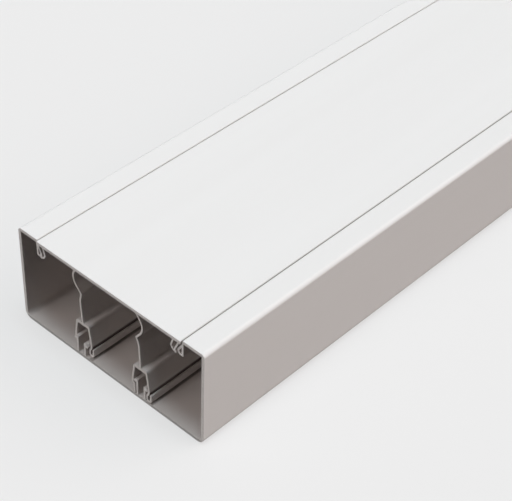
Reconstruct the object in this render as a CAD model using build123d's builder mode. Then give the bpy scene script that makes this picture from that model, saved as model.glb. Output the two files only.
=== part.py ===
from build123d import *
import os
from math import radians, tan

# Compartment trunking for cables: an extruded base, a snap-in lid and two
# clip-in dividers. X is the width, Y the length and Z up, and the origin is
# the middle of the flat back. The end seen from the front is at -Y.

# Overall size
length = 2000.0
width = 130.0
height = 60.0

# Shell of the base
wall = 1.8
back_round = 4.5  # outer radius along the flat back
front_round = 2.2  # outer radius beside the lid
flange = 14.25  # width of each top flange with its side wall
edge_round = 0.4  # eased edges along the two seams

# Hollow snap lip under the end of each flange
lip_wall = 1.2
lip_depth = 8.3  # below the flange
lip_heel = 0.7  # behind the flange's end
lip_belly = 3.5  # bulge past the flange's end
lip_belly_depth = 5.6  # of the bulge, below the flange
lip_tuck = 1.3  # fall back from the bulge to the lip's foot
lip_round = 1.0

# Lid with a hollow snap hook along each edge
lid_wall = 1.8
seam = 0.45  # gap between the lid and each flange
lid_overhang = 1.0  # how far the lid stands out at the front end
hook_wall = 0.9
hook_depth = 7.8  # of the tip, below the lid
hook_inset = 0.45  # of the hook's root from the lid's edge
hook_catch = 1.0  # how far the tip reaches under the lip's bulge
hook_toe = 3.1  # from the tip inwards to the bend
hook_toe_rise = 1.3
hook_width = 4.4  # from the tip to the hook's own bulge
hook_bulge_depth = 4.3  # below the lid
hook_lean = 1.6  # of the inner wall, towards the middle
hook_round = 0.8
hook_tip_round = 0.35
clip_clearance = 0.2  # between the hook and the lip's bulge

# Pairs of divider rails on the floor
divider_spacing = 43.4
rail_wall = 1.2
rail_gap = 4.0  # between the two stems of a pair
left_rail_height = 10.2  # above the floor
right_rail_height = 8.6
head_reach = 1.7  # of a rail's head, outwards from its stem
head_depth = 2.0
head_bevel = 1.0  # lead-in on the head
head_round = 0.3
rail_root_round = 0.4

# Divider foot, which clips over a pair of rails
foot_wall = 1.2
foot_roof = 1.7
foot_width = 9.6  # across the roof
foot_height = 20.1  # above the floor
foot_round = 0.9
leg_grip = 1.0  # how far each leg reaches under a rail's head
leg_drop = 0.6  # straight run of a leg below the head's underside
leg_step = 1.4  # height of the slanted run under the head
leg_round = 1.0
rail_clearance = 0.15
floor_clearance = 0.2
gutter = 1.2  # clear width inside the upturned lip of the right leg
gutter_height = 5.5  # of the upturned lip
gutter_turn = 0.99  # share of a full half round below it

# Divider fin, a thin wall bowed under the lid
fin_wall = 1.1
fin_lean = 3.3  # degrees, towards -X
fin_bend = 0.3  # offset of the bend below the kink, to the bulge's side
fin_bend_depth = 22.0  # below the lid
fin_bend_round = 8.0
fin_kink = 1.2  # offset of the kink, away from the bulge
fin_kink_depth = 16.9
fin_kink_round = 0.9
fin_bulge = 5.5  # where the runs beside the bulge would meet
fin_bulge_depth = 9.0
fin_bulge_round = 7.5
fin_root_round = 0.6
fin_tip = 1.3  # offset of the top edge, away from the bulge
fin_clearance = 0.2
left_set_back = 1.8  # of the left divider's end from the base's end

# Places that follow from the sizes above
flange_end = width / 2 - flange
flange_under = height - wall
lid_edge = flange_end - seam
lid_under = height - lid_wall
belly_x = flange_end - lip_belly
belly_z = flange_under - lip_belly_depth
rail_side = rail_gap / 2 + rail_wall
head_tip = rail_side + head_reach
rail_tops = {-1: wall + left_rail_height, 1: wall + right_rail_height}
foot_top = wall + foot_height
divider_centres = (-divider_spacing / 2, divider_spacing / 2)


def corners_at(section, level):
    """A section's corners at one height, from left to right, without the outermost two."""
    slack = edge_round / 10
    return section.vertices().filter_by_position(Axis.Y, level - slack, level + slack).sort_by(Axis.X)[1:-1]


def end_plane(forward=0):
    """The section plane at the front end, with local X across and local Y up."""
    return Plane.XZ.offset(length / 2 + forward)


def bead_face(points, radii):
    """A face inside a closed outline whose first and last corners stay sharp."""
    with BuildLine() as outline:
        FilletPolyline(*points, radius=[0, *radii, 0], close=True)
    return make_face(outline.edges())


def wall_along(points, radii, thickness):
    """A strip of even thickness along a bent line."""
    with BuildLine() as strip:
        FilletPolyline(*points, radius=radii)
        offset(amount=thickness / 2)
    make_face(strip.edges())


def snap_lip():
    """The hollow lip under the right flange."""
    slope = lip_belly / lip_belly_depth
    root = flange_under + wall / 2
    foot = flange_under - lip_depth
    heel = flange_end + lip_heel
    lip = bead_face(
        [
            (flange_end + slope * wall / 2, root),
            (belly_x, belly_z),
            (belly_x + lip_tuck, foot),
            (heel, foot),
            (heel, root),
        ],
        [lip_round] * 3,
    )
    offset(lip, amount=-lip_wall, mode=Mode.SUBTRACT)


def snap_hook():
    """The hollow hook under the right edge of the lid."""
    root = lid_under + hook_wall
    foot = lid_under - hook_depth
    side = belly_x - clip_clearance
    tip = side + hook_catch
    hook = bead_face(
        [
            (lid_edge - hook_inset, root),
            (side, belly_z),
            (tip, foot),
            (tip - hook_toe, foot + hook_toe_rise),
            (tip - hook_width, lid_under - hook_bulge_depth),
            (tip - hook_width + hook_lean, root),
        ],
        [hook_round, hook_tip_round, hook_round, hook_round],
    )
    offset(hook, amount=-hook_wall, mode=Mode.SUBTRACT)


def rail(centre, side):
    """One rail of a pair, with its head turned away from the pair's middle."""
    top = rail_tops[side]
    head_under = top - head_depth
    outline = [
        (rail_gap / 2, wall / 2),
        (rail_gap / 2, top),
        (head_tip - head_bevel, top),
        (head_tip, top - head_bevel),
        (head_tip, head_under),
        (rail_side, head_under),
        (rail_side, wall / 2),
    ]
    rounds = [0, *[head_round] * 4, 0, 0]
    with BuildLine() as profile:
        FilletPolyline(*[(centre + side * x, z) for x, z in outline], radius=rounds, close=True)
    make_face(profile.edges())


def divider_foot(centre):
    """The clip foot: a roof, a plain left leg and a right leg with an upturned lip."""
    roof_z = foot_top - foot_wall / 2
    knee = foot_width / 2 - foot_wall / 2
    leg = head_tip + rail_clearance + foot_wall / 2
    shin = leg - rail_clearance - leg_grip
    floor = wall + floor_clearance
    sole = floor + foot_wall / 2
    outer = shin + foot_wall + gutter

    def upper_leg(side):
        rail_top = rail_tops[side]
        elbow = rail_top - head_depth - leg_drop
        points = [(knee, roof_z), (leg, rail_top), (leg, elbow), (shin, elbow - leg_step)]
        return [(centre + side * x, z) for x, z in points]

    upturn = [
        (centre + shin, sole),
        (centre + outer, sole),
        (centre + outer, sole + gutter_height - foot_wall),
    ]
    path = [(centre - shin, sole), *upper_leg(-1)[::-1], *upper_leg(1), *upturn]
    bends = [leg_round, leg_round, leg_round, foot_round]
    turn = gutter_turn * (gutter + foot_wall) / 2
    wall_along(path, [*bends, *bends[::-1], turn, turn], foot_wall)
    with Locations((centre, roof_z)):
        Rectangle(2 * knee, foot_roof - foot_wall / 2, align=(Align.CENTER, Align.MAX))


def divider_fin(centre, bow):
    """The thin wall from the foot's roof to the lid, bulging to the bow side."""
    top = lid_under - fin_clearance
    slope = tan(radians(fin_lean))

    def place(across, z):
        return centre + bow * across - slope * (z - foot_top), z

    path = [
        place(0, foot_top - foot_roof / 2),
        place(fin_bend, lid_under - fin_bend_depth),
        place(-fin_kink, lid_under - fin_kink_depth),
        place(fin_bulge, lid_under - fin_bulge_depth),
        place(-fin_tip, lid_under + fin_wall),
    ]
    wall_along(path, [fin_bend_round, fin_kink_round, fin_bulge_round], fin_wall)
    with Locations((centre, top)):
        Rectangle(divider_spacing, height, align=(Align.CENTER, Align.MIN), mode=Mode.SUBTRACT)


def make_divider(label, centre, bow, set_back):
    """One divider strip, from its front end to the far end of the base."""
    with BuildPart() as divider:
        with BuildSketch(end_plane(-set_back)) as section:
            divider_foot(centre)
            divider_fin(centre, bow)
            fillet(corners_at(section, foot_top), radius=fin_root_round)
        extrude(amount=-(length - set_back))
    divider.part.label = label
    export_step(divider.part, f"parts/{label}.step")


os.makedirs("parts", exist_ok=True)

with BuildPart() as trunking_base:
    with BuildSketch(end_plane()) as section:
        Rectangle(width, height, align=(Align.CENTER, Align.MIN))
        fillet(section.vertices().group_by(Axis.Y)[0], radius=back_round)
        fillet(section.vertices().group_by(Axis.Y)[-1], radius=front_round)
        offset(amount=-wall, mode=Mode.SUBTRACT)
        with Locations((0, height)):
            Rectangle(2 * flange_end, 2 * wall, mode=Mode.SUBTRACT)
        fillet(corners_at(section, height), radius=edge_round)
        snap_lip()
        mirror(about=Plane.YZ)
        for centre in divider_centres:
            rail(centre, -1)
            rail(centre, 1)
        fillet(corners_at(section, wall), radius=rail_root_round)
    extrude(amount=-length)
trunking_base.part.label = "trunking_base"
export_step(trunking_base.part, "parts/trunking_base.step")

with BuildPart() as lid:
    with BuildSketch(end_plane(lid_overhang)) as section:
        with Locations((0, lid_under)):
            Rectangle(2 * lid_edge, lid_wall, align=(Align.CENTER, Align.MIN))
        fillet(section.vertices().group_by(Axis.Y)[-1], radius=edge_round)
        snap_hook()
        mirror(about=Plane.YZ)
    extrude(amount=-length)
lid.part.label = "lid"
export_step(lid.part, "parts/lid.step")

make_divider("divider_left", divider_centres[0], -1, left_set_back)
make_divider("divider_right", divider_centres[1], 1, 0)
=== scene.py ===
import bmesh
import bpy
from math import radians
from mathutils import Matrix, Vector

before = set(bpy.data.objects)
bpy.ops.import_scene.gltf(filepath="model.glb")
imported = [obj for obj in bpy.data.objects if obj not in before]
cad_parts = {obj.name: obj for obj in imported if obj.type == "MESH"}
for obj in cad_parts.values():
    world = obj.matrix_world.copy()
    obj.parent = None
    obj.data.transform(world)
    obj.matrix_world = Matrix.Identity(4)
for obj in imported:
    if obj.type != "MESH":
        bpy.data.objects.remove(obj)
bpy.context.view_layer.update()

# Lengths are in metres: X across the trunking, Y along it, Z up from its flat back.
# A fade is a pair of values between which a soft step goes from 0 to 1.

# Camera, in the photograph's frame of 512 by 501 pixels
image_width = 512
focal_pixels = 1538.65
sensor_width = 36.0
camera_place = Vector((0.41256, -1.35861, 0.55314))
camera_azimuth = radians(41.628)
camera_elevation = radians(40.661)
camera_roll = radians(2.201)

# Floor and backdrop
floor_size = 60.0
floor_drop = 0.0003
floor_tone = 0.84
floor_glow = 0.7
floor_bounce = 0.04
backdrop_tone = 0.852

# Light from all round, weakest from the front so that the compartments stay dark
ambient_colour = (1.0, 0.87, 0.82, 1.0)
ambient_above = 0.1
ambient_around = 0.05
ambient_in_front = 0.015
above_fade = (0.4, 0.95)
in_front_fade = (0.0, 0.7)

# Lamps: the side that each shines from, its strength, its spread in degrees and its colour
lamps = {
    "top_softbox": ((0.06, -0.01, 0.99), 1.52, 24, (0.81, 0.93, 0.985)),
    "side_softbox": ((0.68, 0.56, 0.47), 2.25, 75, (1.0, 0.89, 0.845)),
    "left_softbox": ((-0.86, 0.5, 0.12), 0.5, 40, (1.0, 0.975, 0.965)),
    "front_softbox": ((-0.3, -0.71, 0.63), 0.6, 50, (1.0, 0.92, 0.88)),
    "end_lamp": ((-0.12, -0.975, 0.19), 0.7, 8, (1.0, 0.975, 0.96)),
}

# Where the outer skin of the walls, back and top gives way to the inside, which is painted darker
# and warmer as shade
wall_fade = (0.0635, 0.0645)
back_fade = (0.0006, 0.0016)
top_fade = (0.0585, 0.0595)

# Painted shade along the joints between the lid and the flanges, darker on the right
joint_place = 0.0505
joint_core = 0.00022
joint_reach = 0.0011
joint_up_fade = (0.0575, 0.0585)
joint_side_fade = (-0.01, 0.01)
joint_painted_shade_left = 0.35
joint_painted_shade_right = 0.5
joint_shade_tone = (0.42, 0.41, 0.4, 1.0)

# Painted shade in the gutters of the dividers' clip feet and on the floor along their lips,
# counted from the middle of each pair of rails
rail_middle = 0.0217
gutter_across = (0.005, 0.0064)
gutter_across_soft = 0.0002
gutter_up = (0.0035, 0.009)
gutter_up_soft = 0.0008
lip_across = (0.0055, 0.0082)
lip_across_soft = 0.0006
lip_up = 0.0027
lip_up_soft = 0.0005
lip_painted_shade = 0.6
foot_shade_tone = (0.16, 0.13, 0.12, 1.0)

# Painted shade along the lower edge of the sawn ends
lower_edge = 0.0018
lower_edge_soft = 0.0004
lower_edge_painted_shade = 0.6
lower_edge_shade_tone = (0.33, 0.325, 0.32, 1.0)

# Noise in the plastic: its scale across, along and up, and its detail
die_line_grain = ((1400.0, 0.7, 1400.0), 3.0)
flow_grain = ((60.0, 1.3, 60.0), 2.0)
peel_grain = ((420.0, 260.0, 420.0), 1.0)
rub_grain = ((190.0, 14.0, 190.0), 4.0)
saw_grain = ((260.0, 1.0, 3600.0), 3.0)
noise_roughness = 0.5
noise_middle = 0.5
flow_fade = (0.3, 0.75)
rub_fade = (0.62, 0.8)
saw_fade = (0.38, 0.66)
rub_shade = 0.35

# Gloss and relief of the skin and of the sawn ends, which face along the length
end_fade = (0.6, 0.9)
skin_roughness = 0.62
die_line_roughness = 0.07
rub_roughness = 0.12
end_roughness = 0.72
die_line_relief = 0.35
peel_relief = 0.5
saw_relief = 4.0
relief_strength = 0.25
relief_depth = 0.00006
plastic_ior = 1.53
plastic_specular = 0.25

# Sockets of a Mix node for colours, which share their names with those for numbers
mix_first = 6
mix_second = 7
mix_result = 2


class Wire:
    """A socket of a node tree. Arithmetic on wires adds Math nodes."""

    def __init__(self, tree, socket=None):
        self.tree = tree
        self.socket = socket

    def node(self, kind, settings=None, inputs=None, output=0):
        """Adds a node with its settings and sockets, and gives the wire from one output."""
        made = self.tree.nodes.new(kind)
        for name, value in (settings or {}).items():
            setattr(made, name, value)
        for name, value in (inputs or {}).items():
            if isinstance(value, Wire):
                self.tree.links.new(value.socket, made.inputs[name])
            else:
                made.inputs[name].default_value = value
        return Wire(self.tree, made.outputs[output] if made.outputs else None)

    def math(self, operation, *terms):
        return self.node("ShaderNodeMath", {"operation": operation}, dict(enumerate(terms)))

    def __add__(self, other):
        return self.math("ADD", self, other)

    def __radd__(self, other):
        return self.math("ADD", other, self)

    def __sub__(self, other):
        return self.math("SUBTRACT", self, other)

    def __rsub__(self, other):
        return self.math("SUBTRACT", other, self)

    def __mul__(self, other):
        return self.math("MULTIPLY", self, other)

    def __rmul__(self, other):
        return self.math("MULTIPLY", other, self)

    def __neg__(self):
        return 0 - self

    def __abs__(self):
        return self.math("ABSOLUTE", self)

    def sign(self):
        return self.math("SIGN", self)

    def larger(self, other):
        return self.math("MAXIMUM", self, other)

    def axis(self, name):
        """One axis of a vector."""
        return self.node("ShaderNodeSeparateXYZ", inputs={0: self}, output=name)

    def above(self, low, high):
        """A soft step from 0 at low to 1 at high."""
        return self.node(
            "ShaderNodeMapRange",
            {"interpolation_type": "SMOOTHSTEP"},
            {"Value": self, "From Min": low, "From Max": high},
        )

    def past(self, edge, soft):
        """A soft step from 0 to 1 with its middle at an edge."""
        return self.above(edge - soft, edge + soft)

    def between(self, edges, soft):
        """1 between two edges and 0 outside them, with soft ends."""
        low, high = edges
        return self.past(low, soft) * (1 - self.past(high, soft))


def grey(tone):
    """A colour of one grey level."""
    return (tone, tone, tone, 1.0)


def new_material(name):
    """An empty material and the wire that its nodes are added through."""
    material = bpy.data.materials.new(name)
    material.use_nodes = True
    material.node_tree.nodes.clear()
    return material, Wire(material.node_tree)


def noise(place, stretch, detail):
    """Noise over the object's own coordinates, with a scale along each axis."""
    scaled = place.node("ShaderNodeMapping", inputs={"Vector": place, "Scale": stretch})
    return place.node(
        "ShaderNodeTexNoise",
        {"noise_dimensions": "3D"},
        {"Vector": scaled, "Scale": 1.0, "Detail": detail, "Roughness": noise_roughness},
    )


def mix_colour(factor, first, second):
    """Blends two colours."""
    return factor.node(
        "ShaderNodeMix",
        {"data_type": "RGBA"},
        {"Factor": factor, mix_first: first, mix_second: second},
        output=mix_result,
    )


def mix_shader(wire, factor, first, second):
    """Blends two shaders."""
    return wire.node("ShaderNodeMixShader", inputs={0: factor, 1: first, 2: second})


def inside_of_shell(across, up):
    """1 on the faces that bound the cable space and 0 on the outer faces."""
    between_walls = 1 - abs(across).above(*wall_fade)
    above_back = up.above(*back_fade)
    below_top = 1 - up.above(*top_fade)
    return between_walls * above_back * below_top


def joint_painted_shade(across, up):
    """Painted shade along the two joints between lid and flanges, stronger on the right."""
    off_joint = abs(abs(across) - joint_place)
    near = 1 - off_joint.above(joint_core, joint_reach)
    right = across.above(*joint_side_fade)
    shade_strength = joint_painted_shade_left + (joint_painted_shade_right - joint_painted_shade_left) * right
    return near * up.above(*joint_up_fade) * shade_strength


def foot_painted_shade(across, up):
    """Painted shade in the gutters of the dividers' clip feet and on the floor along them."""
    off_rails = across - rail_middle * across.sign()
    in_gutter = off_rails.between(gutter_across, gutter_across_soft)
    in_gutter = in_gutter * up.between(gutter_up, gutter_up_soft)
    by_lip = off_rails.between(lip_across, lip_across_soft)
    by_lip = by_lip * (1 - up.past(lip_up, lip_up_soft))
    return in_gutter.larger(lip_painted_shade * by_lip)


def extruded_pvc(name, skin, shade, inner_painted_shade, sawn, torn):
    """Extruded plastic: die lines along the length, faint rub marks and dull sawn ends."""
    material, wire = new_material(name)
    place = wire.node("ShaderNodeTexCoord", output="Object")
    facing = wire.node("ShaderNodeTexCoord", output="Normal")
    across = place.axis("X")
    up = place.axis("Z")
    at_end = abs(facing.axis("Y")).above(*end_fade)

    die_lines = noise(place, *die_line_grain)
    flow = noise(place, *flow_grain)
    peel = noise(place, *peel_grain)
    rubs = noise(place, *rub_grain).above(*rub_fade)
    saw_marks = noise(place, *saw_grain)

    surface = mix_colour(flow.above(*flow_fade), skin, shade)
    surface = mix_colour(rub_shade * rubs, surface, shade)
    # Painted shade: the faces inside the cable space take a darker, warmer tone
    surface = mix_colour(inside_of_shell(across, up), surface, inner_painted_shade)
    # Painted shade darkens the joints between lid and flanges
    surface = mix_colour(joint_painted_shade(across, up), surface, joint_shade_tone)
    # Painted shade in the feet's gutters and on the floor under their lips
    surface = mix_colour(foot_painted_shade(across, up), surface, foot_shade_tone)
    end = mix_colour(saw_marks.above(*saw_fade), sawn, torn)
    # Painted shade darkens the sawn ends along their lower edge
    lower_edge_shade = lower_edge_painted_shade * (1 - up.past(lower_edge, lower_edge_soft))
    end = mix_colour(lower_edge_shade, end, lower_edge_shade_tone)

    roughness = skin_roughness + die_line_roughness * (die_lines - noise_middle)
    roughness = roughness + rub_roughness * rubs
    roughness = roughness * (1 - at_end) + end_roughness * at_end
    relief = die_line_relief * die_lines + peel_relief * peel
    relief = relief * (1 - at_end) + saw_relief * saw_marks * at_end
    normal = wire.node(
        "ShaderNodeBump",
        inputs={"Height": relief, "Strength": relief_strength, "Distance": relief_depth},
    )
    shader = wire.node(
        "ShaderNodeBsdfPrincipled",
        inputs={
            "Base Color": mix_colour(at_end, surface, end),
            "Roughness": roughness,
            "Normal": normal,
            "IOR": plastic_ior,
            "Specular IOR Level": plastic_specular,
        },
    )
    wire.node("ShaderNodeOutputMaterial", inputs={"Surface": shader})
    return material


def seen_directly(wire):
    """1 for what the camera sees, straight or in a reflection, and 0 for light that bounces on."""
    camera, glossy, transmitted = [
        wire.node("ShaderNodeLightPath", output=name)
        for name in ("Is Camera Ray", "Is Glossy Ray", "Is Transmission Ray")
    ]
    return camera.larger(glossy.larger(transmitted))


def make_floor():
    """A wide pale floor just below the trunking's back."""
    material, wire = new_material("pale_floor")
    lit = wire.node("ShaderNodeBsdfDiffuse", inputs={"Color": grey(floor_tone)})
    glow = wire.node("ShaderNodeEmission", inputs={"Color": grey(backdrop_tone)})
    seen = mix_shader(wire, floor_glow, lit, glow)
    bounced = wire.node("ShaderNodeBsdfDiffuse", inputs={"Color": grey(floor_bounce)})
    shader = mix_shader(wire, seen_directly(wire), bounced, seen)
    wire.node("ShaderNodeOutputMaterial", inputs={"Surface": shader})

    bm = bmesh.new()
    bmesh.ops.create_grid(bm, x_segments=1, y_segments=1, size=floor_size / 2)
    bmesh.ops.translate(bm, verts=bm.verts, vec=(0, 0, -floor_drop))
    mesh = bpy.data.meshes.new("studio_floor")
    bm.to_mesh(mesh)
    bm.free()
    mesh.materials.append(material)
    floor = bpy.data.objects.new("studio_floor", mesh)
    bpy.context.collection.objects.link(floor)


def make_world():
    """Faint warm light from all round, seen by the camera as a pale backdrop."""
    world = bpy.data.worlds.new("studio")
    bpy.context.scene.world = world
    world.use_nodes = True
    world.node_tree.nodes.clear()
    wire = Wire(world.node_tree)
    towards = wire.node("ShaderNodeTexCoord", output="Generated")
    in_front = (-towards.axis("Y")).above(*in_front_fade)
    overhead = towards.axis("Z").above(*above_fade)
    level = ambient_around - (ambient_around - ambient_in_front) * in_front
    level = level + (ambient_above - ambient_around) * overhead
    lit = wire.node(
        "ShaderNodeBackground", inputs={"Color": ambient_colour, "Strength": level}
    )
    shown = wire.node("ShaderNodeBackground", inputs={"Color": grey(backdrop_tone)})
    shader = mix_shader(wire, seen_directly(wire), lit, shown)
    wire.node("ShaderNodeOutputWorld", inputs={"Surface": shader})


def add_lamp(name, towards, strength, spread, colour):
    """A broad far-off lamp that shines from the given side."""
    lamp = bpy.data.lights.new(name, "SUN")
    lamp.energy = strength
    lamp.angle = radians(spread)
    lamp.color = colour
    holder = bpy.data.objects.new(name, lamp)
    holder.rotation_euler = Vector(towards).to_track_quat("Z", "Y").to_euler()
    bpy.context.collection.objects.link(holder)


def make_camera():
    """The camera at the photograph's view."""
    lens = bpy.data.cameras.new("photo_view")
    lens.sensor_width = sensor_width
    lens.lens = focal_pixels / image_width * sensor_width
    turn = (
        Matrix.Rotation(camera_azimuth, 4, "Z")
        @ Matrix.Rotation(radians(90) - camera_elevation, 4, "X")
        @ Matrix.Rotation(camera_roll, 4, "Z")
    )
    camera = bpy.data.objects.new("photo_view", lens)
    camera.matrix_world = Matrix.Translation(camera_place) @ turn
    bpy.context.collection.objects.link(camera)
    bpy.context.scene.camera = camera


# The shell's inner faces are painted darker and warmer as the shade of the cable space
shell = extruded_pvc(
    "white_shell_pvc",
    skin=(0.84, 0.842, 0.84, 1.0),
    shade=(0.83, 0.831, 0.828, 1.0),
    inner_painted_shade=(0.715, 0.667, 0.645, 1.0),
    sawn=(0.84, 0.815, 0.8, 1.0),
    torn=(0.7, 0.675, 0.66, 1.0),
)
# The dividers' plastic is a darker, warmer copy of the shell's: painted shade of the compartments
# they stand in
divider = extruded_pvc(
    "divider_pvc",
    skin=(0.775, 0.733, 0.712, 1.0),
    shade=(0.755, 0.713, 0.692, 1.0),
    inner_painted_shade=(0.765, 0.723, 0.702, 1.0),
    sawn=(0.8, 0.77, 0.75, 1.0),
    torn=(0.66, 0.63, 0.61, 1.0),
)
finishes = {
    "trunking_base": shell,
    "lid": shell,
    "divider_left": divider,
    "divider_right": divider,
}
for name, material in finishes.items():
    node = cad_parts[name]
    node.data.materials.clear()
    node.data.materials.append(material)

make_floor()
make_world()
for name, settings in lamps.items():
    add_lamp(name, *settings)
make_camera()

bpy.context.scene.view_settings.view_transform = "Standard"
